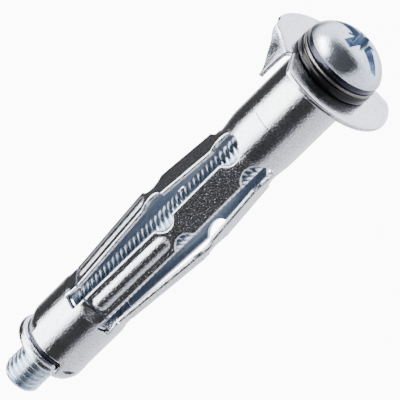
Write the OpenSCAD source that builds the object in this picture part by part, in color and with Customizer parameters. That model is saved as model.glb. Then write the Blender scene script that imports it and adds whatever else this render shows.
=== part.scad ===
// Hollow-wall anchor: M5 x 60 pan-head screw, washer and rubber ring in a
// folding sheet-metal sleeve with a threaded insert in its end collar.
// Axis on Z, head up. Origin: centre of the flange underside, the wall face.

/* [Screw] */
// Thread outside diameter
thread_d = 5; // [3:0.5:8]
// Length under the head
screw_l = 60; // [40:1:90]
// Head diameter
head_d = 10.1; // [7:0.1:16]
// Head height over the seat
head_h = 3.7; // [2:0.1:6]
// Straight side of the head before the dome starts
head_side = 0.95; // [0.3:0.05:2]
// Flat radius of the middle of the dome
dome_r = 8; // [6:0.1:14]
// Tighter radius near the rim of the dome
shoulder_r = 5.5; // [5.2:0.1:9]
// Chamfer at the screw point
point_c = 0.45; // [0.2:0.05:1]
// Width of the screwdriver slot
slot_w = 1.2; // [0.8:0.05:2]
// Depth of the screwdriver slot below the crown
slot_h = 1.5; // [0.8:0.05:2.5]
// Tip to tip size of the cross
cross_l = 5.2; // [3:0.1:6]
// Width of a cross arm
cross_w = 0.95; // [0.6:0.05:1.6]
// Depth of the cross below the crown
cross_h = 2.6; // [1.5:0.05:3.2]
// Turn of the slot about the screw axis
drive_turn = -30; // [-90:1:90]

/* [Washer and ring] */
// Washer outside diameter
washer_d = 10.3; // [8:0.1:15]
// Washer bore diameter
washer_bore = 5.3; // [5.1:0.05:6]
// Washer thickness
washer_t = 0.4; // [0.3:0.05:1.5]
// Rubber ring outside diameter
ring_d = 10.4; // [8:0.1:15]
// Rubber ring bore diameter
ring_bore = 5.04; // [5.02:0.01:6]
// Rubber ring thickness
ring_t = 1.2; // [0.8:0.05:2.5]

/* [Sleeve] */
// Sheet thickness
sheet_t = 0.6; // [0.4:0.05:1]
// Flange diameter
flange_d = 17; // [12:0.1:24]
// Tube outside diameter
tube_d = 8.8; // [7:0.1:14]
// Tube outside diameter at the weakened necks
neck_d = 8.24; // [6.5:0.02:13]
// Depth below the wall face where the tube starts to narrow
neck_z = 11.7; // [6:0.1:20]
// Collar outside diameter
collar_d = 9.1; // [7:0.1:14]
// Depth of the shoulder where the legs join the collar
collar_z = 42.2; // [36:0.1:60]
// Depth of the collar end, crimped over the nut
collar_end = 50.4; // [44:0.1:80]
// Width of the two windows in the crimped end
crimp_w = 5.6; // [2:0.1:7]
// Height of the two windows in the crimped end
crimp_h = 0.3; // [0.1:0.05:1]
// Height of the leg roots above the shoulder
step_h = 0.85; // [0.4:0.05:1.2]

/* [Spikes] */
// Reach of each spike below the wall face
spike_l = 3.4; // [2:0.1:6]
// Inner end of the cut beside each spike, sideways from the axis
spike_cut = 4.35; // [3:0.05:7]
// Inner end of the cut beside each spike, forward of the axis
spike_fold = 4.05; // [3.5:0.05:7]
// Turn of the two fold lines against the sideways direction
spike_skew = [46.7, 0];
// Widths of the two spikes at their folds
spike_w = [3.3, 2.4];
// Offset of the spike point from its cut side
spike_point = 0.5; // [0.2:0.05:1.5]
// Turn of the spikes against the legs
spike_turn = -7; // [-45:1:45]

/* [Legs] */
// Number of legs
leg_count = 5; // [5:1:5]
// Leg width
leg_w = 3.6; // [2:0.05:5]
// Neck width where the sleeve folds
leg_neck = 1.55; // [1:0.05:3]
// Radius of the round cut-outs beside each neck
lobe_r = 1.83; // [1:0.01:3]
// Depth of the upper fold line
fold_top = 13.3; // [8:0.1:25]
// Depth of the lower fold line
fold_low = 41; // [30:0.1:60]
// Depth of the middle of the upper cut-outs
lobe_top = 14.28; // [9:0.01:26]
// Depth of the middle of the middle cut-outs
lobe_mid = 25.95; // [18:0.01:40]
// Depth of the closed end of the slots
slot_end = 43.17; // [40:0.01:60]
// Radius of the middle fold line in the half-open rest shape
fold_out = 4.86; // [4.2:0.02:6]
// Stiffening rib width
rib_w = 1.7; // [0.8:0.05:2.5]
// Stiffening rib height over the leg
rib_h = 0.5; // [0.2:0.05:1]
// Plain length left at each end of the rib
rib_end = 0.1; // [0:0.05:4]

/* [Nut] */
// Nut flange diameter
nut_flange_d = 9.26; // [7:0.02:14]
// Nut flange thickness
nut_flange_t = 1.75; // [0.8:0.05:3]
// Rounded-off edge of the nut flange
nut_edge = 0.35; // [0.1:0.05:0.6]
// Radial clearance of the screw in the nut
nut_play = 0.05; // [0.02:0.01:0.1]
// Depth of the top of the nut
nut_top = 43; // [42:0.1:70]

/* [Hidden] */
$fn = 96;
STEEL = [0.78, 0.79, 0.81];
STEEL_DARK = [0.62, 0.64, 0.67];
RUBBER = [0.06, 0.06, 0.07];
gap = 0.05;
over = 1;
ring_z = sheet_t + 0.01;
washer_z = ring_z + ring_t + 0.01;
seat_z = washer_z + washer_t + 0.01;
tip_z = seat_z - screw_l;
crown_z = seat_z + head_h;
rim_z = seat_z + head_side;
tube_r = tube_d / 2;
tube_in = tube_r - sheet_t;
neck_r = neck_d / 2;
neck_mid = neck_r - sheet_t / 2;
collar_r = collar_d / 2;
collar_in = collar_r - sheet_t;
bend_r = sheet_t + 0.4;
cut_out = [0.85, 3.7];
drive_core_r = 1.3;
drive_point_r = 0.6;
fold_mid = (fold_top + fold_low) / 2;
link_l = sqrt(pow(fold_mid - fold_top, 2) + pow(fold_out - neck_mid, 2));
lean = asin((fold_out - neck_mid) / link_l);
lobe_x = leg_neck / 2 + lobe_r;
rib_r = (pow(rib_w / 2, 2) + rib_h * rib_h) / (2 * rib_h);
rib_c = rib_r - rib_h - sheet_t / 2;
rib_end_r = rib_w / 2 + rib_end;
rib_len = link_l - 2 * rib_end_r;
seam = sheet_t / 2 * sin(lean) + 0.025;
knuckle_r = sheet_t / 2;
slot_lobe_r = 1.7;
neck_edge = 1.1;
slot_gap = 1.65;
step_z = collar_z - step_h;
nut_gap = 0.03;
nut_end = -collar_end - gap - nut_flange_t + nut_edge;
pitch_a = 360 / leg_count;

// Ring of rectangular section standing on z
module ring(ro, ri, z, h) {
  translate([0, 0, z]) difference() {
    cylinder(r = ro, h = h);
    translate([0, 0, -over]) cylinder(r = ri, h = h + 2 * over);
  }
}

// Two-curvature pan head standing on the seat
module head_blank() {
  intersection() {
    translate([0, 0, seat_z]) cylinder(r = head_d / 2, h = head_h);
    translate([0, 0, crown_z - dome_r]) sphere(r = dome_r);
    translate([0, 0, rim_z - sqrt(pow(shoulder_r, 2) - pow(head_d / 2, 2))]) sphere(r = shoulder_r);
  }
}

// Cross recess with a full-width slot
module drive() {
  rotate([0, 0, drive_turn]) {
    translate([-head_d, -slot_w / 2, crown_z - slot_h]) cube([2 * head_d, slot_w, head_h]);
    for (a = [0, 90]) rotate([0, 0, a])
      translate([-cross_l / 2, -cross_w / 2, crown_z - cross_h + drive_point_r])
        cube([cross_l, cross_w, head_h]);
    translate([0, 0, crown_z - cross_h]) cylinder(r1 = drive_point_r, r2 = drive_core_r, h = cross_h + over);
  }
}

module screw() {
  color(STEEL) {
    difference() {
      head_blank();
      drive();
    }
    translate([0, 0, tip_z + point_c]) cylinder(d = thread_d, h = screw_l - point_c + 0.2);
    translate([0, 0, tip_z]) cylinder(r1 = thread_d / 2 - point_c, r2 = thread_d / 2, h = point_c);
  }
}

module washer() {
  color(STEEL) ring(washer_d / 2, washer_bore / 2, washer_z, washer_t);
}

module seal_ring() {
  color(RUBBER) ring(ring_d / 2, ring_bore / 2, ring_z, ring_t);
}

// Puts what follows at the inner end of cut i, with -X along its fold line
module at_fold(i) {
  rotate([0, 0, spike_turn + 180 * i]) translate([-spike_cut, -spike_fold, 0])
    rotate([0, 0, -spike_skew[i]]) children();
}

// Pointed flap i turned down from the flange
module spike(i) {
  w = spike_w[i];
  at_fold(i) {
    // the turned corner
    translate([-w, 0, sheet_t - bend_r]) rotate([0, 90, 0]) intersection() {
      difference() {
        cylinder(r = bend_r, h = w);
        translate([0, 0, -over]) cylinder(r = bend_r - sheet_t, h = w + 2 * over);
      }
      translate([-bend_r, -bend_r, 0]) cube([bend_r, bend_r, w]);
    }
    // the pointed blade
    translate([0, sheet_t - bend_r, sheet_t - bend_r]) rotate([90, 0, 0]) linear_extrude(sheet_t)
      polygon([[-w, 0], [0, 0], [-spike_point, bend_r - sheet_t - spike_l]]);
  }
}

// Cut-out in the flange left by turned-down flap i
module spike_notch(i) {
  at_fold(i) translate([0, 0, -over]) linear_extrude(sheet_t + 2 * over)
    polygon([[0, 0], [-flange_d, 0], [-flange_d, -flange_d], [0, -flange_d]]);
  rotate([0, 0, spike_turn + 180 * i]) translate([-spike_cut, -spike_fold, -over])
    linear_extrude(sheet_t + 2 * over)
      polygon([[0, 0], [-flange_d, 0], [-flange_d, -flange_d], [4 * cut_out[0], -4 * cut_out[1]]]);
}

// Places what follows on leg k with the leg pointing along -Y
module at_leg(k) {
  rotate([0, 0, (k - 1) * pitch_a]) children();
}

// Wall of the upper tube with its narrowed lower end
module tube_wall() {
  rotate_extrude() polygon([[tube_in, sheet_t / 2], [tube_r, sheet_t / 2], [tube_r, -neck_z],
    [neck_r, -lobe_top + neck_edge], [neck_r, -fold_top + knuckle_r + gap],
    [neck_r - sheet_t, -fold_top + knuckle_r + gap], [neck_r - sheet_t, -lobe_top + neck_edge],
    [tube_in, -neck_z]]);
}

module sleeve_head() {
  color(STEEL) {
    difference() {
      union() {
        difference() {
          cylinder(d = flange_d, h = sheet_t);
          for (i = [0, 1]) spike_notch(i);
          translate([0, 0, -over]) cylinder(r = tube_in, h = sheet_t + 2 * over);
        }
        tube_wall();
      }
      for (k = [1:leg_count]) at_leg(k + 0.5)
        translate([0, 0, -lobe_top]) rotate([90, 0, 0]) cylinder(r = slot_lobe_r, h = tube_d);
    }
    for (i = [0, 1]) spike(i);
  }
}

// Flat outline of a leg half from the outer fold line at y = 0 to the middle fold
module leg_outline(lobe_y) {
  difference() {
    translate([-leg_w / 2, seam - link_l]) square([leg_w, link_l - seam]);
    for (s = [-1, 1], y = lobe_y) translate([s * lobe_x, y]) circle(r = lobe_r);
  }
}

// Sheet of a leg half in its own plane with a round knuckle of width w on the outer fold
module leg_sheet(lobe_y, w) {
  translate([0, sheet_t / 2, 0]) rotate([90, 0, 0]) linear_extrude(sheet_t) leg_outline(lobe_y);
  translate([-w / 2, 0, 0]) rotate([0, 90, 0]) cylinder(r = knuckle_r, h = w);
}

module leg_upper(k) {
  color(STEEL_DARK) at_leg(k) translate([0, -neck_mid, -fold_top]) rotate([-lean, 0, 0])
    leg_sheet([fold_top - lobe_top, fold_top - lobe_mid], leg_neck);
}

// Stiffening rib, from the outer fold towards the middle fold
module rib() {
  translate([0, rib_c, -rib_end_r]) {
    sphere(r = rib_r);
    translate([0, 0, -rib_len]) sphere(r = rib_r);
    translate([0, 0, -rib_len]) cylinder(r = rib_r, h = rib_len);
  }
}

module leg_lower(k) {
  color(STEEL_DARK) at_leg(k) translate([0, -neck_mid, -fold_low]) mirror([0, 0, 1])
    rotate([-lean, 0, 0]) difference() {
      union() {
        leg_sheet([lobe_mid - fold_low], leg_w);
        intersection() {
          rib();
          translate([-leg_w / 2, -leg_w, seam - link_l]) cube([leg_w, leg_w, link_l]);
        }
      }
      // hollow behind the rib
      translate([0, rib_c, -rib_end_r - rib_len]) cylinder(r = rib_r - rib_h, h = rib_len);
    }
}

module sleeve_collar() {
  color(STEEL) difference() {
    union() {
      ring(collar_r, collar_in, -collar_end, collar_end - collar_z);
      ring(collar_r, neck_mid - sheet_t / 2, -collar_z - sheet_t, sheet_t);
      ring(neck_r, neck_mid - sheet_t / 2, -collar_z - sheet_t / 2, collar_z + sheet_t / 2 - step_z);
    }
    // slots running down into the collar
    for (k = [1:leg_count]) at_leg(k + 0.5)
      translate([-slot_gap / 2, -collar_d, -slot_end]) cube([slot_gap, collar_d - 1, slot_end]);
    // window left by the crimped end, and the one opposite
    for (a = [0, 180]) rotate([0, 0, a + spike_turn])
      translate([-crimp_w / 2, -collar_d, -collar_end - over]) cube([crimp_w, collar_d, over + crimp_h]);
  }
}

module nut() {
  color(STEEL) difference() {
    union() {
      translate([0, 0, -collar_end - gap]) cylinder(r = collar_in - nut_gap, h = collar_end + gap - nut_top);
      translate([0, 0, nut_end]) cylinder(d = nut_flange_d, h = nut_flange_t - 2 * nut_edge);
      translate([0, 0, nut_end - nut_edge])
        cylinder(r1 = nut_flange_d / 2 - nut_edge, r2 = nut_flange_d / 2, h = nut_edge);
      translate([0, 0, nut_end + nut_flange_t - 2 * nut_edge])
        cylinder(r1 = nut_flange_d / 2, r2 = nut_flange_d / 2 - nut_edge, h = nut_edge);
    }
    translate([0, 0, nut_end - over]) cylinder(r = thread_d / 2 + nut_play, h = nut_top + over - nut_end);
  }
}

screw();
washer();
seal_ring();
sleeve_head();
leg_upper(1);  // leg_1_upper
leg_upper(2);  // leg_2_upper
leg_upper(3);  // leg_3_upper
leg_upper(4);  // leg_4_upper
leg_upper(5);  // leg_5_upper
leg_lower(1);  // leg_1_lower
leg_lower(2);  // leg_2_lower
leg_lower(3);  // leg_3_lower
leg_lower(4);  // leg_4_lower
leg_lower(5);  // leg_5_lower
sleeve_collar();
nut();
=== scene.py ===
"""The looks of a hollow-wall anchor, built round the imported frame.

Shapes are worked out in millimetres with the axis on Z and turned into metres in build().
"""

import math

import bpy
import numpy as np
from mathutils import Matrix, Vector


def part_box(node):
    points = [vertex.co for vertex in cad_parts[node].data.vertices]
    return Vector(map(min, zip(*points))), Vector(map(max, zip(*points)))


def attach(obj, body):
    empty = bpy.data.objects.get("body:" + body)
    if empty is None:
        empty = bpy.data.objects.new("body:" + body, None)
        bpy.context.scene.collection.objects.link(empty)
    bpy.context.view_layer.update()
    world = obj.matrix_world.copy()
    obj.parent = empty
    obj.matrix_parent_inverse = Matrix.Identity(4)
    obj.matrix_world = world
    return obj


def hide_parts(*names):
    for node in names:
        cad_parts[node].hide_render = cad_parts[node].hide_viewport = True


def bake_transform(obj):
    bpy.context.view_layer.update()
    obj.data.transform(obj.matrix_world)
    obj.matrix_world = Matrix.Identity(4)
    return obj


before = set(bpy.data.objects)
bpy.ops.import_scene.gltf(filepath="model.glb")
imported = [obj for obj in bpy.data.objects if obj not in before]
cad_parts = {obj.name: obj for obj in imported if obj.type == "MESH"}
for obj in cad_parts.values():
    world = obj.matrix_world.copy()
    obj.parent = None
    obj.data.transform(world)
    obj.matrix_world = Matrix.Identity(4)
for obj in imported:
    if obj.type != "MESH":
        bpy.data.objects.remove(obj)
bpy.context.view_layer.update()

MM = 0.001
LEGS = 5
PITCH = 2 * math.pi / LEGS
VIEW_TURN = math.radians(-7)  # the front of the object, against leg 1
T = 0.6  # sheet thickness

# ---------------------------------------------------------------- helpers


def smooth(a, b, x):
    q = np.clip((x - a) / (b - a), 0.0, 1.0)
    return q * q * (3 - 2 * q)


def wrap_angle(a):
    return (a + math.pi) % (2 * math.pi) - math.pi


def soft_min(a, b, k):
    return -k * math.log(math.exp(-a / k) + math.exp(-b / k))


def outward(verts, faces):
    """The same part with its faces turned to look outwards."""
    total = 0.0
    for f in faces:
        a = Vector(verts[f[0]])
        for i in range(1, len(f) - 1):
            total += a.dot(Vector(verts[f[i]]).cross(Vector(verts[f[i + 1]])))
    return verts, (faces if total > 0 else [f[::-1] for f in faces])


def build(name, verts, faces, material, sharp=38):
    """Closed smooth-shaded mesh from millimetre points in the CAD frame."""
    mesh = bpy.data.meshes.new(name)
    mesh.from_pydata([tuple(c * MM for c in v) for v in verts], [], faces)
    mesh.update()
    mesh.shade_smooth()
    mesh.set_sharp_from_angle(angle=math.radians(sharp))
    obj = bpy.data.objects.new(name, mesh)
    bpy.context.scene.collection.objects.link(obj)
    mesh.materials.append(material)
    return obj


def loft(loops, closed=False):
    """Faces through equal-length loops; capped at both ends unless the path closes."""
    n, m = len(loops[0]), len(loops)
    verts = [tuple(p) for loop in loops for p in loop]
    faces = []
    for j in range(m if closed else m - 1):
        a, b = j * n, ((j + 1) % m) * n
        for i in range(n):
            k = (i + 1) % n
            faces.append((a + i, a + k, b + k, b + i))
    if not closed:
        faces.append(tuple(range(n))[::-1])
        faces.append(tuple((m - 1) * n + i for i in range(n)))
    return outward(verts, faces)


def paint(obj, material, chosen):
    """Gives a finish to the faces whose centre (mm) and normal are chosen."""
    mesh = obj.data
    mesh.materials.append(material)
    slot = len(mesh.materials) - 1
    for p in mesh.polygons:
        if chosen(p.center / MM, p.normal):
            p.material_index = slot


def shade_inside(obj):
    """Paints shade on the faces that look at the axis: a darker, duller copy of the zinc."""
    paint(obj, ZINC_INSIDE_SHADE, lambda c, n: c.x * n.x + c.y * n.y < -0.35 * math.hypot(c.x, c.y))


def join(parts):
    verts, faces = [], []
    for v, f in parts:
        base = len(verts)
        verts += v
        faces += [tuple(base + i for i in g) for g in f]
    return verts, faces


def turned(profile, steps=144):
    """Solid of revolution of a closed (r, z) profile; r above 0."""
    loops = []
    for j in range(steps):
        a = 2 * math.pi * j / steps
        loops.append([(r * math.cos(a), r * math.sin(a), z) for r, z in profile])
    return loft(loops, closed=True)


def round_box(r0, r1, z0, z1, rad, n=4):
    """Rounded-rectangle (r, z) profile."""
    pts = []
    for cx, cz, a0 in (
        (r1 - rad, z1 - rad, 0),
        (r0 + rad, z1 - rad, 90),
        (r0 + rad, z0 + rad, 180),
        (r1 - rad, z0 + rad, 270),
    ):
        for i in range(n + 1):
            a = math.radians(a0 + 90 * i / n)
            pts.append((cx + rad * math.cos(a), cz + rad * math.sin(a)))
    return pts


def smoothed(nodes, width):
    """Radius along z through polyline nodes, with its corners eased over the width."""
    zs = np.array([p[0] for p in nodes][::-1], float)
    rs = np.array([p[1] for p in nodes][::-1], float)
    taps = np.linspace(-1, 1, 17)
    weights = (1 - np.abs(taps)) / np.sum(1 - np.abs(taps))

    def at(z):
        return float(np.sum(weights * np.interp(z + taps * width, zs, rs)))

    return at


# ---------------------------------------------------------------- sheet-metal shape

NECK_TOP = -12.62  # where the legs leave the tube
LOBE_R = 1.83
LOBE_X = 2.605
LOBE_TOP = -14.28
LOBE_MID = -25.95
HINGE_LOW = -41.0
HINGE_R = 3.82  # radius of the upper and lower fold lines
WALL_R = 4.25  # middle of the sheet at the collar
NECK_R = 4.15
SLOT_END = -43.17
SLOT_HALF = 0.825  # half width of the slots in the collar

# outside radius down the tube and legs, and down the fingers of the collar
outer_r = smoothed(
    [
        (5, 4.4), (-11.7, 4.4), (-14.3, 4.14), (-25.4, 5.06),
        (-27.7, 5.10), (-41.0, 4.12), (-60, 4.12),
    ],
    0.75,
)
finger_r = smoothed([(-40, 4.12), (-41.35, 4.12), (-42.9, 4.55), (-60, 4.55)], 0.22)


def half_width(z):
    """Half width of a leg at depth z."""
    w = 1.8
    if z > LOBE_TOP:
        w = 9.0
    for centre in (LOBE_TOP, LOBE_MID):
        q = LOBE_R**2 - (z - centre) ** 2
        side = LOBE_X - math.sqrt(q) if q > 0 else 9.0
        w = soft_min(w, side, 0.10) if w < 5 else side
    return w


def rib_height(x, z):
    """Pressed stiffening rib on the lower half of a leg, with a soft foot."""
    top, low, half, height, foot = -28.0, -40.0, 0.90, 0.28, 0.022
    d = math.hypot(x, max(0.0, z - top) + max(0.0, low - z))
    rise = height * (1 - (d / half) ** 2.4)
    return foot * math.log(1 + math.exp(max(rise, -0.5) / foot))


def section(w, h_out, h_in, ro=0.22, ri=0.12, n=26):
    """Cross-section of the sheet: (lateral, outward) points round the loop."""
    pts = []
    for i in range(n + 1):
        x = (w - ro) * (2 * i / n - 1)
        pts.append((x, T / 2 + h_out(x)))
    for i in range(1, 5):
        a = math.radians(90 - 90 * i / 4)
        pts.append((w - ro + ro * math.cos(a), T / 2 - ro + ro * math.sin(a)))
    for i in range(1, 4):
        a = math.radians(-90 * i / 4)
        pts.append((w - ri + ri * math.cos(a), -T / 2 + ri + ri * math.sin(a)))
    for i in range(n // 2 + 1):
        x = (w - ri) * (1 - 4 * i / n)
        pts.append((x, -T / 2 + h_in(x)))
    for i in range(1, 5):
        a = math.radians(270 - 90 * i / 4)
        pts.append((-w + ri + ri * math.cos(a), -T / 2 + ri + ri * math.sin(a)))
    for i in range(1, 4):
        a = math.radians(180 - 90 * i / 4)
        pts.append((-w + ro + ro * math.cos(a), T / 2 - ro + ro * math.sin(a)))
    return pts


def flat(_):
    return 0.0


def leg_turn(k):
    return Matrix.Rotation(PITCH * (k - 1), 3, "Z")


def strip_loops(k, zs, radius, width, bend, rib=None):
    """Loops of a leg strip: k is the leg, bend the curvature of the sheet across it."""
    turn = leg_turn(k)
    loops = []
    for z in zs:
        slope = (radius(z + 0.02) - radius(z - 0.02)) / 0.04
        size = math.hypot(1, slope)
        nr, nz = 1 / size, -slope / size
        cr, cz = radius(z) - T / 2 * nr, z - T / 2 * nz
        kap = bend(z)
        h = (lambda x, z=z: rib(x, z)) if rib else flat
        loop = []
        for x, o in section(width(z), h, h):
            if kap > 1e-6:
                a = x * kap
                lx = (1 / kap + o) * math.sin(a)
                lo = (1 / kap + o) * math.cos(a) - 1 / kap
            else:
                lx, lo = x, o
            p = Vector((lx, -(cr + lo * nr), cz + lo * nz))
            loop.append(tuple(turn @ p))
        loops.append(loop)
    return loops


def steps(*marks):
    """z rows through (z, spacing to the next mark) pairs."""
    rows = []
    for (z0, d), (z1, _) in zip(marks, marks[1:]):
        n = max(1, round(abs(z1 - z0) / d))
        rows += [z0 + (z1 - z0) * i / n for i in range(n)]
    return rows + [marks[-1][0]]


def top_bend(z):
    """Curvature across a leg at its root: round at the tube, flat lower down."""
    return (1 - float(smooth(12.9, 16.2, -z))) / 3.9


def low_bend(z):
    """Curvature across a finger: flat at the hinge, round at the collar."""
    return float(smooth(41.1, 42.6, -z)) / 4.25


# ---------------------------------------------------------------- materials


def node(tree, kind, **inputs):
    n = tree.nodes.new(kind)
    for key, value in inputs.items():
        n.inputs[key.replace("_", " ")].default_value = value
    return n


def zinc(
    name, colour, rough, speckle, tint, seed, metal=1.0, relief=0.00007, grit=4800, patchy=1.0
):
    """Bright zinc plating: fine crystal grain, faint drawing marks, cloudy wear.

    speckle is how much darker the specks are, tint colours the clouds, relief is the height
    of the grain in metres, grit its fineness, and patchy how much the gloss varies.
    """
    mat = bpy.data.materials.new(name)
    mat.use_nodes = True
    t = mat.node_tree
    t.nodes.clear()
    out = t.nodes.new("ShaderNodeOutputMaterial")
    bsdf = t.nodes.new("ShaderNodeBsdfPrincipled")
    t.links.new(bsdf.outputs["BSDF"], out.inputs["Surface"])
    bsdf.inputs["Metallic"].default_value = metal
    coord = t.nodes.new("ShaderNodeTexCoord")
    shift = t.nodes.new("ShaderNodeMapping")
    shift.inputs["Location"].default_value = (seed * 0.013, seed * 0.007, seed * 0.011)
    t.links.new(coord.outputs["Object"], shift.inputs["Vector"])

    def noise(scale, detail, squash=None):
        n = node(t, "ShaderNodeTexNoise", Scale=scale, Detail=detail, Roughness=0.6)
        if squash:
            m = t.nodes.new("ShaderNodeMapping")
            m.inputs["Scale"].default_value = squash
            t.links.new(shift.outputs["Vector"], m.inputs["Vector"])
            t.links.new(m.outputs["Vector"], n.inputs["Vector"])
        else:
            t.links.new(shift.outputs["Vector"], n.inputs["Vector"])
        return n

    grain = noise(grit, 1.6)
    cloud = noise(260, 3.0)
    drawn = noise(2600, 2.0, (1, 1, 0.03))
    # colour: cloudy plating with darker specks
    ramp = t.nodes.new("ShaderNodeValToRGB")
    ramp.color_ramp.elements[0].position = 0.36
    ramp.color_ramp.elements[1].position = 0.60
    dark = tuple(c * (1 - speckle) for c in colour)
    ramp.color_ramp.elements[0].color = (*dark, 1)
    ramp.color_ramp.elements[1].color = (*colour, 1)
    t.links.new(grain.outputs["Fac"], ramp.inputs["Fac"])
    mix = t.nodes.new("ShaderNodeMix")
    mix.data_type = "RGBA"
    mix.blend_type = "MULTIPLY"
    tintramp = t.nodes.new("ShaderNodeValToRGB")
    tintramp.color_ramp.elements[0].position = 0.35
    tintramp.color_ramp.elements[1].position = 0.7
    tintramp.color_ramp.elements[0].color = (1, 1, 1, 1)
    tintramp.color_ramp.elements[1].color = (*tint, 1)
    t.links.new(cloud.outputs["Fac"], tintramp.inputs["Fac"])
    mix.inputs["Factor"].default_value = 1.0
    t.links.new(ramp.outputs["Color"], mix.inputs["A"])
    t.links.new(tintramp.outputs["Color"], mix.inputs["B"])
    t.links.new(mix.outputs["Result"], bsdf.inputs["Base Color"])
    # roughness
    rmap = t.nodes.new("ShaderNodeMapRange")
    rmap.inputs["To Min"].default_value = rough * (1 - 0.3 * patchy)
    rmap.inputs["To Max"].default_value = rough * (1 + 0.45 * patchy)
    rmap.inputs["From Min"].default_value = 0.3
    rmap.inputs["From Max"].default_value = 0.7
    t.links.new(cloud.outputs["Fac"], rmap.inputs["Value"])
    t.links.new(rmap.outputs["Result"], bsdf.inputs["Roughness"])
    # relief: grain over long drawing marks
    b1 = t.nodes.new("ShaderNodeBump")
    b1.inputs["Strength"].default_value = 0.35
    b1.inputs["Distance"].default_value = 0.00002
    t.links.new(drawn.outputs["Fac"], b1.inputs["Height"])
    b2 = t.nodes.new("ShaderNodeBump")
    b2.inputs["Strength"].default_value = 0.55
    b2.inputs["Distance"].default_value = relief
    t.links.new(grain.outputs["Fac"], b2.inputs["Height"])
    t.links.new(b1.outputs["Normal"], b2.inputs["Normal"])
    t.links.new(b2.outputs["Normal"], bsdf.inputs["Normal"])
    return mat


def rubber(name):
    mat = bpy.data.materials.new(name)
    mat.use_nodes = True
    t = mat.node_tree
    bsdf = t.nodes["Principled BSDF"]
    coord = t.nodes.new("ShaderNodeTexCoord")
    n = node(t, "ShaderNodeTexNoise", Scale=1800.0, Detail=3.0)
    t.links.new(coord.outputs["Object"], n.inputs["Vector"])
    ramp = t.nodes.new("ShaderNodeValToRGB")
    bsdf.inputs["Specular IOR Level"].default_value = 0.30
    ramp.color_ramp.elements[0].color = (0.0006, 0.0006, 0.0007, 1)
    ramp.color_ramp.elements[1].color = (0.002, 0.002, 0.0024, 1)
    t.links.new(n.outputs["Fac"], ramp.inputs["Fac"])
    t.links.new(ramp.outputs["Color"], bsdf.inputs["Base Color"])
    rmap = t.nodes.new("ShaderNodeMapRange")
    rmap.inputs["To Min"].default_value = 0.12
    rmap.inputs["To Max"].default_value = 0.22
    t.links.new(n.outputs["Fac"], rmap.inputs["Value"])
    t.links.new(rmap.outputs["Result"], bsdf.inputs["Roughness"])
    b = t.nodes.new("ShaderNodeBump")
    b.inputs["Strength"].default_value = 0.2
    b.inputs["Distance"].default_value = 0.00002
    t.links.new(n.outputs["Fac"], b.inputs["Height"])
    t.links.new(b.outputs["Normal"], bsdf.inputs["Normal"])
    return mat


ZINC_SLEEVE = zinc(
    "zinc_sleeve", (0.82, 0.83, 0.86), 0.14, 0.30, (0.90, 0.93, 0.99), 1, relief=0.00005
)
ZINC_LEG = zinc(
    "zinc_leg", (0.82, 0.83, 0.86), 0.20, 0.40, (0.90, 0.93, 0.99), 1, relief=0.0001, patchy=0.2
)
ZINC_SCREW = zinc(
    "zinc_screw", (0.76, 0.80, 0.86), 0.17, 0.35, (0.86, 0.92, 1.0), 2, relief=0.00004, grit=6500
)
ZINC_WASHER = zinc("zinc_washer", (0.20, 0.19, 0.185), 0.26, 0.25, (0.9, 0.9, 0.92), 3)
ZINC_NUT = zinc("zinc_nut", (0.80, 0.82, 0.86), 0.16, 0.20, (0.90, 0.94, 1.0), 4)
# painted shade: a darker, duller copy of the zinc for the faces that look at the axis
ZINC_INSIDE_SHADE = zinc("zinc_inside_painted_shade", (0.25, 0.295, 0.36), 0.38, 0.25, (0.85, 0.9, 1.0), 5, metal=0.6)
# painted shade: a darker copy of the sleeve zinc for the flaps folded down
ZINC_SPIKE_SHADE = zinc("zinc_spike_painted_shade", (0.46, 0.48, 0.52), 0.20, 0.5, (0.9, 0.93, 1.0), 9, relief=0.00014)
# painted shade: a darker, bluer copy of the screw zinc for the shank inside the sleeve
ZINC_THREAD_SHADE = zinc(
    "zinc_thread_painted_shade", (0.66, 0.72, 0.79), 0.22, 0.3, (0.85, 0.92, 1.0), 6, relief=0.00003
)
# painted shade and reflection: near-black zinc for the score line, the punch mark, the nut's groove and
# the head's straight side
ZINC_SHADE = zinc("zinc_painted_shade", (0.055, 0.058, 0.075), 0.20, 0.3, (0.9, 0.92, 1.0), 7)
# painted shade: a darker, bluer copy of the screw zinc for the drive recess
ZINC_RECESS_SHADE = zinc(
    "zinc_recess_painted_shade", (0.50, 0.58, 0.68), 0.28, 0.2, (0.82, 0.9, 1.0), 8, relief=0.00003
)
RUBBER = rubber("black_rubber")

# ---------------------------------------------------------------- sleeve head: tube, flange, spikes


def at_view(a):
    """Azimuth in the CAD frame of an angle seen from the front, right positive."""
    return -math.pi / 2 + a + VIEW_TURN


def from_front(point):
    """Angle of a point from the front of the object, right positive."""
    return wrap_angle(math.atan2(point.y, point.x) - at_view(0))


def column_angles(half, in_slot, in_leg):
    """Azimuths of the columns of a slotted wall, half being half a slot's angle."""
    angles = set()
    for k in range(LEGS):
        mid = -math.pi / 2 + PITCH * (k + 0.5)
        for i in range(-in_slot, in_slot + 1):
            angles.add(round(mid + i / in_slot * half, 6))
        for i in range(1, in_leg):
            angles.add(round(mid + half + (PITCH - 2 * half) * i / in_leg, 6))
    return sorted(angles)


def from_slot(a):
    """Angle from an azimuth to the middle of the nearest slot."""
    return min(abs(wrap_angle(a + math.pi / 2 - PITCH * (k + 0.5))) for k in range(LEGS))


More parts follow.
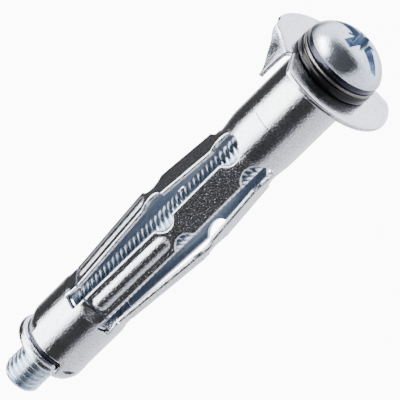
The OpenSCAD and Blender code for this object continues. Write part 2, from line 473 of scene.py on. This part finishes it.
def edge_loop(r_out, z_low, round_off, rows):
    """One column of a thin wall in (r, z): down the outside, round the end, up the inside."""
    pts = []
    end = T / 2 * round_off
    span = [z for z in rows if z > z_low + 0.5]
    n_extra = len(rows) - len(span)
    tail = [span[-1] + (z_low + end - span[-1]) * (i + 1) / n_extra for i in range(n_extra)]
    zs = span + tail
    for z in zs:
        pts.append((r_out(z), z))
    rm = r_out(z_low) - T / 2
    for i in range(1, 6):
        a = math.pi * i / 6
        pts.append((rm + T / 2 * math.cos(a), z_low + end - end * math.sin(a)))
    for z in zs[::-1]:
        pts.append((r_out(z) - T, z))
    return pts


SCORE_Z, SCORE_SPAN, SCORE_DEEP = -8.2, (-0.62, 0.05), 0.02  # fine scribed line on the front
FILLET = 0.55  # between tube and flange


def sleeve_tube():
    rows = [0.45, 0.0, -0.12, -0.3, -0.5, -1.0, -3, -5, -7, -8.05, -8.14, SCORE_Z, -8.26, -8.35,
            -9.5, -10.5, -11.2, -11.5, -11.7, -11.9, -12.0, -12.1, -12.2]
    half = LOBE_X - half_width(NECK_TOP)
    loops = []
    for a in column_angles(half / NECK_R, 14, 22):
        off = from_slot(a) * NECK_R
        q = LOBE_R**2 - off**2
        in_slot = off < half - 1e-4
        z_low = LOBE_TOP + math.sqrt(q) if in_slot else NECK_TOP
        front = wrap_angle(a - at_view(0))

        def radius(z, front=front):
            up = max(0.0, min(1.0, (z + FILLET) / FILLET))
            fillet = FILLET * (1 - math.sqrt(1 - up * up)) if z > -FILLET else 0
            scored = abs(z - SCORE_Z) < 0.04 and SCORE_SPAN[0] < front < SCORE_SPAN[1]
            return outer_r(z) + fillet - (SCORE_DEEP if scored else 0.0)

        loop = [
            (r * math.cos(a), r * math.sin(a), z)
            for r, z in edge_loop(radius, z_low, 1.0 if in_slot else 0.0001, rows)
        ]
        loops.append(loop)
    return loft(loops, closed=True)


FOLD_A = (-4.35, 4.05)  # inner end of each cut: (right, towards the front)
CUT_TO = (0.95, 3.8)  # heading of the cut's other side, from the axis
RIM_R = 8.5


class Fold:
    """Fold line of one flap, from FOLD_A out to the rim."""

    def __init__(self, end, half_turn, reach, lean):
        self.half_turn, self.reach, self.lean = half_turn, reach, math.radians(lean)
        self.length = math.dist(FOLD_A, end)
        self.t = ((end[0] - FOLD_A[0]) / self.length, (end[1] - FOLD_A[1]) / self.length)
        self.n = (self.t[1], -self.t[0])
        self.d = FOLD_A[0] * self.n[0] + FOLD_A[1] * self.n[1]
        self.limit = math.atan2(*end) - 0.02


FOLDS = (Fold((-8.35, -0.20), 0.0, 4.75, 87), Fold((-7.42, 4.02), math.pi, 4.0, 84))


def flange_radius(a):
    """Outline of the flange: a disc with a flap cut from it on two sides."""
    best = RIM_R
    for fold in FOLDS:
        b = wrap_angle(a - at_view(0) - fold.half_turn)
        x, y = math.sin(b), math.cos(b)  # right, towards the front
        if fold.limit < b < math.radians(-23):
            ex, ey = CUT_TO
            den = x * ey - y * ex
            if b < math.atan2(*FOLD_A):
                best = min(best, fold.d / (fold.n[0] * x + fold.n[1] * y))
            elif abs(den) > 1e-6:
                cut = (FOLD_A[0] * ey - FOLD_A[1] * ex) / den
                if 0 < cut < RIM_R:
                    best = min(best, cut)
    return best


def flange():
    """Flat ring with a rounded rim, its outline eased and a small shear lump at the front."""
    n = 420
    rad = 0.17
    raw = np.array([flange_radius(2 * math.pi * j / n) for j in range(n)])
    kernel = np.array([1, 2, 3, 2, 1], float) / 9
    eased = sum(w * np.roll(raw, s) for w, s in zip(kernel, (-2, -1, 0, 1, 2)))
    loops = []
    for j in range(n):
        a = 2 * math.pi * j / n
        r = float(eased[j])
        b = wrap_angle(a - at_view(0))
        near = abs(b) < 0.5
        r -= 0.03 * math.exp(-(((b + 0.03) / 0.085) ** 4)) if near else 0.0
        low = -0.12 * math.exp(-(((b + 0.05) / 0.10) ** 4)) if near else 0.0
        pts = [(4.2, 0.0), (4.7, 0.0), (5.2, 0.0), ((5.2 + r - rad) / 2, low * 0.4), (r - rad, low)]
        for i in range(1, 8):
            t = -math.pi / 2 + math.pi * i / 8
            pts.append((r - rad + rad * math.cos(t), (T + low) / 2 + (T - low) / 2 * math.sin(t)))
        pts += [(r - rad, T), ((5.2 + r - rad) / 2, T), (5.2, T), (4.7, T)]
        pts += [(4.25, T - 0.04), (4.0, T - 0.2), (3.95, 0.2)]
        loops.append([(q * math.cos(a), q * math.sin(a), z) for q, z in pts])
    return loft(loops, closed=True)


def spikes():
    """Pointed flaps folded down along the fold lines, with a soft bend."""
    parts = []
    bend = 0.80
    for fold in FOLDS:
        turn = VIEW_TURN + fold.half_turn
        ct, st = math.cos(turn), math.sin(turn)
        reach, lean = fold.reach, fold.lean
        loops = []
        n = 44
        for i in range(n + 1):
            d = -1.0 + (reach + 1.0) * i / n  # distance along the sheet from the fold line
            a = min(max(d / bend, 0.0), lean)
            run = max(d - bend * lean, 0.0)
            out = bend * math.sin(a) + run * math.cos(lean) + min(d, 0.0)
            z = T / 2 + 0.012 - bend * (1 - math.cos(a)) - run * math.sin(lean)
            q = min(max(d, 0.0) / reach, 1.0)
            near = 0.04 + 0.10 * q
            far = (fold.length - 0.42 + 0.25 * min(d, 0.0)) * (1 - q) ** 1.35 + 0.30
            if far - near < 0.3:
                far, near = (far + near) / 2 + 0.15, (far + near) / 2 - 0.15
            mid, w = (far + near) / 2, (far - near) / 2
            wave = 0.10 * math.sin(4.1 * q + 0.6) * min(1.0, q * 3)
            corner = min(0.2, w * 0.6)
            loop = []
            for x, o in section(w, flat, flat, ro=corner, ri=corner * 0.7, n=16):
                along = mid - x
                off = out + wave * math.sin(along * 1.7) + o * math.sin(a)
                px = FOLD_A[0] + fold.t[0] * along + fold.n[0] * off
                py = -(FOLD_A[1] + fold.t[1] * along + fold.n[1] * off)
                loop.append((px * ct - py * st, px * st + py * ct, z + o * math.cos(a)))
            loops.append(loop)
        parts.append(loft(loops))
    return join(parts)


sleeve = build("sleeve_tube", *sleeve_tube(), ZINC_SLEEVE)
rim = build("sleeve_flange", *flange(), ZINC_SLEEVE)
prongs = build("sleeve_spikes", *spikes(), ZINC_SLEEVE)
for piece in (sleeve, rim, prongs):
    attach(piece, "sleeve")
    shade_inside(piece)
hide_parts("sleeve_head")


def on_score(c, _):
    outside = math.hypot(c.x, c.y) > 4.2
    return outside and abs(c.z - SCORE_Z) < 0.06 and SCORE_SPAN[0] < from_front(c) < SCORE_SPAN[1]


# painted shade: the faces of the score line get the near-black zinc
paint(sleeve, ZINC_SHADE, on_score)
# painted shade: the folded-down flaps get the darker zinc
paint(prongs, ZINC_SPIKE_SHADE, lambda c, _: c.z < 0.2)

# ---------------------------------------------------------------- legs

CUT_UP, CUT_LOW = -19.5, -34.0
ROOT_ROWS = steps((NECK_TOP, 0.10), (-16.6, 0.5), (CUT_UP, 1))
KNEE_ROWS = steps((CUT_UP, 0.7), (-23.7, 0.10), (-29.2, 0.4), (CUT_LOW, 1))
FOOT_ROWS = steps((CUT_LOW, 0.6), (-38.8, 0.12), (HINGE_LOW, 1))


def leg_part(k, part, rows, bend, rib):
    shape = loft(strip_loops(k, rows, outer_r, half_width, bend, rib))
    return build(f"leg_{k}_{part}", *shape, ZINC_LEG)


def up(distance):
    return Vector((0, 0, distance * MM))


for k in range(1, LEGS + 1):
    root = leg_part(k, "root", ROOT_ROWS, top_bend, None)
    knee = leg_part(k, "knee", KNEE_ROWS, flat, rib_height)
    foot = leg_part(k, "foot", FOOT_ROWS, flat, rib_height)
    upper, lower = f"leg_{k}_top", f"leg_{k}_bottom"
    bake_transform(root)
    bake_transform(knee)
    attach(foot, lower)
    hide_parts(f"leg_{k}_upper")
    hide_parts(f"leg_{k}_lower")
    for piece in (root, knee, foot):
        shade_inside(piece)

# ---------------------------------------------------------------- collar

DENT = (55, -50.77)  # small punch mark on the right lug: degrees from the front, depth


def collar_body():
    slot_half = SLOT_HALF / WALL_R
    bead = 0.25  # rounding of the lower edge
    n = 46
    loops = []
    for a in column_angles(slot_half, 6, 34):
        b = math.degrees(wrap_angle(a - at_view(0)))
        # windows front and back; the left lug tucks in, the right lug wraps over the nut
        right = float(smooth(31, 36, b) * (1 - smooth(141, 147, b)))
        left = float(smooth(-149, -144, b) * (1 - smooth(-44, -38, b)))
        z_low = -50.05 - 2.45 * right - 0.80 * left
        top_round = 0.2 if from_slot(a) < slot_half - 1e-4 else 0.0001
        z_top = SLOT_END - top_round
        pts_out, pts_in = [], []
        for i in range(n + 1):
            s = 1 - (1 - i / n) ** 1.6
            z = z_top + (z_low + bead - z_top) * s
            tuck = 0.60 * float(smooth(48.3, 50.9, -z)) ** 1.3 * left
            fold = 0.50 * float(smooth(51.1, 52.7, -z)) ** 1.6 * right
            dent = 0.22 * math.exp(-(((b - DENT[0]) / 11.0) ** 2) - ((z - DENT[1]) / 0.30) ** 2)
            r = 4.55 + 0.06 * right * float(smooth(49.8, 50.4, -z)) - tuck - fold - dent
            pts_out.append((r, z))
            pts_in.append((r - T + 0.05 * fold, z))
        r_end = (pts_out[-1][0] + pts_in[-1][0]) / 2
        half = (pts_out[-1][0] - pts_in[-1][0]) / 2
        arc = [(math.cos(math.pi * i / 6), math.sin(math.pi * i / 6)) for i in range(1, 6)]
        low_end = [(r_end + half * c, z_low + bead - bead * s) for c, s in arc]
        top_end = [(WALL_R - T / 2 * c, z_top + top_round * s) for c, s in arc]
        loop = pts_out + low_end + pts_in[::-1] + top_end
        loops.append([(r * math.cos(a), r * math.sin(a), z) for r, z in loop])
    return loft(loops, closed=True)


def finger_width(z):
    return 1.845 if z < -42.4 else 1.8


def knuckle(k, half=1.76, rad=0.285, n=20):
    """Round bar along the lower fold line of a leg."""
    ring = [(math.cos(2 * math.pi * i / n), math.sin(2 * math.pi * i / n)) for i in range(n)]
    return [
        [tuple(leg_turn(k) @ Vector((x, -HINGE_R - rad * c, HINGE_LOW + rad * s))) for c, s in ring]
        for x in (-half, half)
    ]


FINGER_TOP = HINGE_LOW - 0.31  # clear of the leg when it is folded
FINGER_ROWS = steps((FINGER_TOP, 0.07), (-42.5, 0.15), (SLOT_END, 1))
parts = [collar_body()]
for k in range(1, LEGS + 1):
    parts.append(loft(strip_loops(k, FINGER_ROWS, finger_r, finger_width, low_bend)))
    parts.append(loft(knuckle(k)))
collar = build("collar", *join(parts), ZINC_SLEEVE)
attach(collar, "collar")
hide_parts("sleeve_collar")
shade_inside(collar)


def in_dent(c, _):
    across = (math.degrees(from_front(c)) - DENT[0]) / 13.0
    return math.hypot(c.x, c.y) > 4.1 and across**2 + ((c.z - DENT[1]) / 0.27) ** 2 < 1


# painted shade: the faces of the punch mark get the near-black zinc
paint(collar, ZINC_SHADE, in_dent)

# ---------------------------------------------------------------- nut


def nut_shape():
    n = 180
    loops = []
    for j in range(n):
        a = 2 * math.pi * j / n
        b = math.degrees(wrap_angle(a - at_view(0)))
        right = float(smooth(27, 36, b) * (1 - smooth(141, 150, b)))
        r = 4.63 - 0.75 * right
        pts = [(2.50, -43.0), (3.75, -43.0), (3.88, -43.15), (3.88, -50.60), (3.95, -50.72)]
        zc, hz, rad = -51.51, 0.68, 0.55
        for i in range(9):
            t = math.pi / 2 - math.pi * i / 8
            pts.append((r - rad + rad * abs(math.cos(t)) ** 0.8, zc + hz * math.sin(t)))
        pts += [(3.2, -52.18), (2.75, -52.14), (2.50, -51.9)]
        loops.append([(q * math.cos(a), q * math.sin(a), z) for q, z in pts])
    return loft(loops, closed=True)


nut = build("nut", *nut_shape(), ZINC_NUT)
# painted shade: the groove of the nut inside the collar gets the near-black zinc
paint(nut, ZINC_SHADE, lambda c, _: -51.0 < c.z < -45 and math.hypot(c.x, c.y) < 4.1)
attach(nut, "collar")
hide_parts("nut")

# ---------------------------------------------------------------- washer, ring

low, high = (corner.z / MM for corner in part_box("washer"))
washer = build("washer", *turned(round_box(2.65, 5.15, low, high, 0.13)), ZINC_WASHER)
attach(washer, "washers")
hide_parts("washer")
low, high = (corner.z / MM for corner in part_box("seal_ring"))
ring = build("seal_ring", *turned(round_box(2.52, 5.2, low, high, 0.42, 8)), RUBBER)
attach(ring, "washers")
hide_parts("seal_ring")

# ---------------------------------------------------------------- screw

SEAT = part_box("washer")[1].z / MM + 0.01
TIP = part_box("screw")[0].z / MM
CROWN = SEAT + 3.7
HEAD_R = 5.05
THREAD = 0.8  # pitch
PLAIN_R, PLAIN_FROM = 2.45, 1.4  # the shank has no thread above this height


def thread_radius(a, z):
    """Rounded V thread with a small crest flat."""
    q = (z / THREAD - a / (2 * math.pi)) % 1.0
    d = abs(q - 0.5) * 2  # 0 crest, 1 root
    r = 2.475 - 0.50 * float(smooth(0.22, 1.0, d))
    return min(r, 2.06 + 0.75 * (z - TIP))


def shank():
    cols, per = 40, 14
    top = SEAT + 0.3
    rows = int((top - TIP) / THREAD * per)
    loops = []
    for j in range(rows + 1):
        z = TIP + (top - TIP) * j / rows
        loop = []
        for i in range(cols):
            a = 2 * math.pi * i / cols
            r = PLAIN_R if z > PLAIN_FROM else thread_radius(a, z)
            loop.append((r * math.cos(a), r * math.sin(a), z))
        loops.append(loop)
    return loft(loops)


def head_z(r):
    """Height of the pan head: a flattened ellipse, tightest at its rim."""
    return CROWN - 4.0 * (1 - math.sqrt(1 - (r / 5.3) ** 2))


def head_profile():
    """Pan head from the seat up: straight side, tight shoulder, flat dome."""
    pts = [(0.0, SEAT), (4.75, SEAT), (4.95, SEAT + 0.06), (5.04, SEAT + 0.22)]
    pts += [(HEAD_R, SEAT + 0.55), (HEAD_R, SEAT + 0.85)]
    for i in range(0, 41):
        r = HEAD_R * math.cos(math.pi / 2 * i / 40)
        pts.append((r if i < 40 else 0.0, head_z(r)))
    return pts


def head_mesh():
    prof = head_profile()
    n = 160
    ring = [(math.cos(2 * math.pi * i / n), math.sin(2 * math.pi * i / n)) for i in range(n)]
    verts = [(0, 0, prof[0][1])]
    for r, z in prof[1:-1]:
        verts += [(r * c, r * s, z) for c, s in ring]
    verts.append((0, 0, prof[-1][1]))
    faces = [(0, 1 + (i + 1) % n, 1 + i) for i in range(n)]
    m = len(prof) - 2
    for j in range(m - 1):
        a, b = 1 + j * n, 1 + (j + 1) * n
        faces += [(a + i, a + (i + 1) % n, b + (i + 1) % n, b + i) for i in range(n)]
    a, last = 1 + (m - 1) * n, len(verts) - 1
    faces += [(a + i, a + (i + 1) % n, last) for i in range(n)]
    return outward(verts, faces)


def prism(length, wide, wide_low, top, low, foot=1.0):
    """Tapered bar along x, used as a cutter."""
    l2, a, b = length / 2, wide / 2, wide_low / 2
    v = [(-l2, -a, top), (l2, -a, top), (l2, a, top), (-l2, a, top),
         (-l2 * foot, -b, low), (l2 * foot, -b, low), (l2 * foot, b, low), (-l2 * foot, b, low)]
    f = [(3, 2, 1, 0), (4, 5, 6, 7), (0, 1, 5, 4), (1, 2, 6, 5), (2, 3, 7, 6), (3, 0, 4, 7)]
    return outward(v, f)


def kite(length, wide, end, top, low):
    """Slot cutter, wide in the middle and narrowing outwards."""
    l2, a, b = length / 2, wide / 2, end / 2
    plan = [(-l2, -b), (0, -a), (l2, -b), (l2, b), (0, a), (-l2, b)]
    v = [(x, y, top) for x, y in plan] + [(x, y * 0.8, low) for x, y in plan]
    f = [tuple(range(6)), tuple(range(11, 5, -1))]
    f += [(i, i + 6, (i + 1) % 6 + 6, (i + 1) % 6) for i in range(6)]
    return outward(v, f)


def turn_z(shape, angle):
    v, f = shape
    c, s = math.cos(angle), math.sin(angle)
    return [(x * c - y * s, x * s + y * c, z) for x, y, z in v], f


head = build("screw_head", *head_mesh(), ZINC_SCREW)
drive = math.radians(-30)  # turn of the recess
cutters = [
    (turn_z(kite(12.4, 2.1, 0.5, CROWN + 1, CROWN - 1.55), drive), "slot"),
    (turn_z(prism(7.4, 1.5, 0.8, CROWN + 1, CROWN - 2.6, 0.22), drive), "cross_a"),
    (turn_z(prism(7.4, 1.5, 0.8, CROWN + 1, CROWN - 2.6, 0.22), drive + math.pi / 2), "cross_b"),
    (turn_z(prism(4.4, 0.45, 0.35, CROWN + 1, CROWN - 1.9, 0.6), drive + math.pi / 4), "tick_a"),
    (turn_z(prism(4.4, 0.45, 0.35, CROWN + 1, CROWN - 1.9, 0.6), drive - math.pi / 4), "tick_b"),
]
for shape, name in cutters:
    tool = build("cut_" + name, *shape, ZINC_SCREW)
    mod = head.modifiers.new(name, "BOOLEAN")
    mod.operation = "DIFFERENCE"
    mod.solver = "EXACT"
    mod.object = tool
    bpy.context.view_layer.update()
    cut = bpy.data.meshes.new_from_object(head.evaluated_get(bpy.context.evaluated_depsgraph_get()))
    head.modifiers.clear()
    head.data = cut
    bpy.data.objects.remove(tool)
head.data.shade_smooth()
head.data.set_sharp_from_angle(angle=math.radians(30))
# painted reflection: the head's straight side gets the near-black zinc as a dark reflection
head.data.materials.append(ZINC_SHADE)
# painted shade: the walls of the recess get the darker, bluer zinc
head.data.materials.append(ZINC_RECESS_SHADE)
for p in head.data.polygons:
    c = p.center / MM
    r = math.hypot(c.x, c.y)
    if r > 4.98 and c.z < SEAT + 0.93:
        p.material_index = 1
    elif SEAT + 0.05 < c.z < head_z(min(r, 5.04)) - 0.10:
        p.material_index = 2
normals = [tuple(c.vector) for c in head.data.corner_normals]
for p in head.data.polygons:
    if p.material_index == 0 and p.normal.z > 0.2:
        for i in p.loop_indices:
            v = head.data.vertices[head.data.loops[i].vertex_index].co / MM
            r = math.hypot(v.x, v.y)
            slope = (head_z(max(r - 0.02, 0.0)) - head_z(min(r + 0.02, 5.1))) / 0.04
            if r > 1e-3:
                normals[i] = tuple(Vector((v.x / r * slope, v.y / r * slope, 1)).normalized())
head.data.normals_split_custom_set(normals)
shaft = build("screw_thread", *shank(), ZINC_THREAD_SHADE, sharp=50)
for piece in (head, shaft):
    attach(piece, "screw")
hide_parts("screw")

# ---------------------------------------------------------------- camera, floor, light


def plain(name, colour, rough=0.9, emit=0.0):
    mat = bpy.data.materials.new(name)
    mat.use_nodes = True
    b = mat.node_tree.nodes["Principled BSDF"]
    b.inputs["Base Color"].default_value = (*colour, 1)
    b.inputs["Roughness"].default_value = rough
    b.inputs["Specular IOR Level"].default_value = 0.0
    if emit:
        b.inputs["Emission Color"].default_value = (*colour, 1)
        b.inputs["Emission Strength"].default_value = emit
    return mat


def look(obj, eye, target):
    f = (Vector(target) - Vector(eye)).normalized()
    obj.matrix_world = Matrix.Translation(Vector(eye)) @ f.to_track_quat("-Z", "Y").to_matrix().to_4x4()


def heading(azimuth, elevation):
    """Direction from the object, in degrees from its front and up from level."""
    a = at_view(math.radians(azimuth))
    e = math.radians(elevation)
    return Vector((math.cos(a) * math.cos(e), math.sin(a) * math.cos(e), math.sin(e)))


# the anchor lies diagonally across the photo, so the camera is rolled
TARGET = Vector((0, 0, -0.0232))
DISTANCE = 0.460
ROLL = math.radians(44.5)
toward = heading(0, 28.8)
level_right = (-toward).cross(Vector((0, 0, 1))).normalized()
level_up = level_right.cross(-toward)
frame_right = math.cos(ROLL) * level_up + math.sin(ROLL) * level_right
frame_up = math.sin(ROLL) * level_up - math.cos(ROLL) * level_right
cam_data = bpy.data.cameras.new("camera")
cam_data.sensor_width = 36
cam_data.lens = 3980 / 400 * 36  # focal length of 3980 pixels in a frame of 400
cam_data.clip_start = 0.01
cam = bpy.data.objects.new("camera", cam_data)
bpy.context.scene.collection.objects.link(cam)
basis = Matrix((frame_right, frame_up, toward)).transposed().to_4x4()
cam.matrix_world = Matrix.Translation(TARGET + toward * DISTANCE) @ basis
bpy.context.scene.camera = cam


def panel(name, corners, material):
    mesh = bpy.data.meshes.new(name)
    mesh.from_pydata(corners, [], [(0, 1, 2, 3)])
    mesh.materials.append(material)
    obj = bpy.data.objects.new(name, mesh)
    bpy.context.scene.collection.objects.link(obj)
    return obj


FLOOR_Z = -0.15
floor = panel(
    "floor",
    [(-4, -4, FLOOR_Z), (4, -4, FLOOR_Z), (4, 4, FLOOR_Z), (-4, 4, FLOOR_Z)],
    plain("floor_paper", (0.93, 0.93, 0.93), emit=9.5),
)
floor.visible_glossy = False
floor.visible_diffuse = False

WHITE, GREY, DARK = 12.0, 1.7, 0.06
LAVENDER = (0.94, 0.94, 1.0)


def studio_world():
    """Soft studio surround: light walls with two dark bands low down, as from black flags."""
    world = bpy.data.worlds.new("studio")
    world.use_nodes = True
    t = world.node_tree
    back = t.nodes["Background"]
    coord = t.nodes.new("ShaderNodeTexCoord")
    turn = t.nodes.new("ShaderNodeVectorRotate")
    turn.rotation_type = "Z_AXIS"
    turn.inputs["Angle"].default_value = math.radians(97)
    t.links.new(coord.outputs["Generated"], turn.inputs["Vector"])
    split = t.nodes.new("ShaderNodeSeparateXYZ")
    t.links.new(turn.outputs["Vector"], split.inputs["Vector"])

    def maths(op, a, b=None):
        n = t.nodes.new("ShaderNodeMath")
        n.operation = op
        for i, v in enumerate((a, b)):
            if v is None:
                continue
            if isinstance(v, (int, float)):
                n.inputs[i].default_value = v
            else:
                t.links.new(v, n.inputs[i])
        return n.outputs[0]

    around = maths("ARCTAN2", split.outputs["Y"], split.outputs["X"])
    share = maths("ADD", maths("DIVIDE", around, 2 * math.pi), 0.5)

    def ramp(stops, source):
        n = t.nodes.new("ShaderNodeValToRGB")
        n.color_ramp.interpolation = "EASE"
        e = n.color_ramp.elements
        while len(e) > 1:
            e.remove(e[-1])
        for i, (pos, level, tone) in enumerate(stops):
            el = e[0] if i == 0 else e.new(pos)
            el.position = pos
            el.color = tuple(level / WHITE * c for c in tone) + (1.0,)
        t.links.new(source, n.inputs["Fac"])
        return n.outputs["Color"]

    def az(d):
        return d / 360 + 0.5

    one = (1, 1, 1)
    low = ramp(
        [
            (az(-180), 2.0, LAVENDER),
            (az(-160), 2.0, LAVENDER),
            (az(-146), 0.09, one),
            (az(-90), 0.07, one),
            (az(-74), 9.0, one),
            (az(-26), 9.0, one),
            (az(-6), DARK, one),
            (az(42), DARK, one),
            (az(64), 1.3, LAVENDER),
            (az(150), 2.0, LAVENDER),
            (az(180), 2.0, LAVENDER),
        ],
        share,
    )
    high = ramp(
        [
            (az(-180), 3.4, LAVENDER),
            (az(-60), GREY, LAVENDER),
            (az(60), GREY, LAVENDER),
            (az(180), 3.4, LAVENDER),
        ],
        share,
    )
    mix = t.nodes.new("ShaderNodeMix")
    mix.data_type = "RGBA"
    lift = t.nodes.new("ShaderNodeMapRange")
    lift.inputs["From Min"].default_value = 0.02
    lift.inputs["From Max"].default_value = 0.25
    t.links.new(split.outputs["Z"], lift.inputs["Value"])
    t.links.new(lift.outputs["Result"], mix.inputs["Factor"])
    t.links.new(low, mix.inputs["A"])
    t.links.new(high, mix.inputs["B"])
    t.links.new(mix.outputs["Result"], back.inputs["Color"])
    back.inputs["Strength"].default_value = WHITE
    return world


bpy.context.scene.world = studio_world()

BLACK = plain("flag_black", (0.05, 0.05, 0.055))


def band(name, start, end, half, distance=0.8):
    """Black flag stretched between two directions from the object."""
    a, b = heading(*start), heading(*end)
    side = a.cross(b).normalized() * half
    corners = [(p + q) * distance for p, q in ((a, side), (b, side), (b, -side), (a, -side))]
    obj = panel(name, corners, BLACK)
    obj.visible_camera = False
    obj.visible_shadow = False
    obj.visible_diffuse = False


band("flag_over_front", (-8, 22), (180, 76), 0.64)


def soft_light(name, azimuth, elevation, distance, wide, tall, level):
    """Area light with an even face brightness."""
    data = bpy.data.lights.new(name, "AREA")
    data.shape = "RECTANGLE"
    data.size, data.size_y = wide, tall
    data.energy = level * math.pi * wide * tall
    obj = bpy.data.objects.new(name, data)
    bpy.context.scene.collection.objects.link(obj)
    look(obj, heading(azimuth, elevation) * distance, (0, 0, -0.02))


soft_light("key_left", -72, 34, 0.7, 0.62, 0.22, 16.0)
